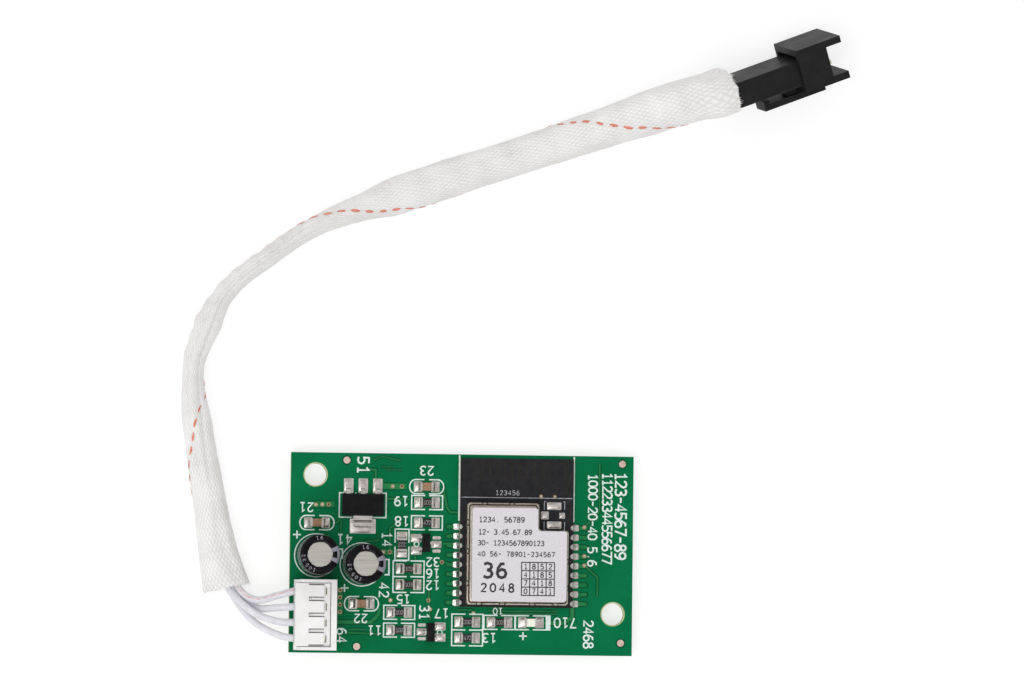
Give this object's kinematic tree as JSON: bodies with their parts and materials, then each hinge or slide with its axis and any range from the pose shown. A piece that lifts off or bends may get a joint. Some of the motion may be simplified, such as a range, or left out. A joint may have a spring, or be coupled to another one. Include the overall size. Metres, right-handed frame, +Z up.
{
  "type": "wifi module",
  "caption": "Radio control board: green carrier with a shielded castellated radio module, power parts and a braided-sleeve lead that ends in a black in-line connector.",
  "frame": {"origin": "bottom centre of the board assembly without its lead, on the surface that its lead tips stand on", "axes": "+X along the carrier board's long side, from the board connector to the bare end; +Y towards the radio module's antenna edge; +Z up through the parts"},
  "size_m": [0.1054, 0.1006, 0.014],
  "materials": {
    "solder_mask": "glossy green solder mask on glass-epoxy laminate",
    "module_mask": "glossy black solder mask",
    "shield_metal": "dull nickel-plated sheet, warm grey",
    "label_paper": "smooth white label",
    "solder": "bright soft solder",
    "moulding": "matt black moulding compound",
    "tinned_lead": "tin-plated lead frame",
    "can_aluminium": "bare drawn aluminium",
    "shrink_sleeve": "black shrink sleeve with a pale stripe",
    "bung": "black rubber bung",
    "ceramic_chip": "brown fired ceramic",
    "resistor_chip": "black glazed resistor face",
    "led_lens": "pale clear resin",
    "white_housing": "off-white nylon",
    "black_housing": "black nylon, faint sheen",
    "contact_metal": "tin over brass",
    "wire_insulation": "white insulation, faint red stripe",
    "glass_braid": "white woven glass fibre with a red tracer thread"
  },
  "bodies": {
    "root": {"circuit_board": "solder_mask", "module_board": "module_mask", "module_shield": "shield_metal", "module_label": "label_paper", "module_solder": "solder", "regulator_body": "moulding", "regulator_leads": "tinned_lead", "capacitor_1_can": "can_aluminium", "capacitor_1_sleeve": "shrink_sleeve", "capacitor_1_bung": "bung", "capacitor_1_leads": "tinned_lead", "capacitor_2_can": "can_aluminium", "capacitor_2_sleeve": "shrink_sleeve", "capacitor_2_bung": "bung", "capacitor_2_leads": "tinned_lead", "ceramic_capacitor_1": "ceramic_chip", "ceramic_capacitor_2": "ceramic_chip", "ceramic_capacitor_3": "ceramic_chip", "resistor_1": "resistor_chip", "resistor_2": "resistor_chip", "resistor_3": "resistor_chip", "resistor_4": "resistor_chip", "resistor_5": "resistor_chip", "resistor_6": "resistor_chip", "resistor_7": "resistor_chip", "resistor_8": "resistor_chip", "resistor_9": "resistor_chip", "resistor_10": "resistor_chip", "transistor_1_body": "moulding", "transistor_1_leads": "tinned_lead", "transistor_2_body": "moulding", "transistor_2_leads": "tinned_lead", "status_led": "led_lens", "chip_terminals": "tinned_lead", "chip_solder": "solder", "header_shell": "white_housing", "header_pins": "contact_metal", "header_joints": "solder", "plug_housing": "white_housing", "plug_contacts": "contact_metal", "capacitor_joints": "solder", "wire_1": "wire_insulation", "wire_2": "wire_insulation", "wire_3": "wire_insulation", "wire_4": "wire_insulation", "braided_sleeve": "glass_braid", "cable_connector_housing": "black_housing", "cable_connector_pins": "contact_metal"}
  },
  "joints": []
}
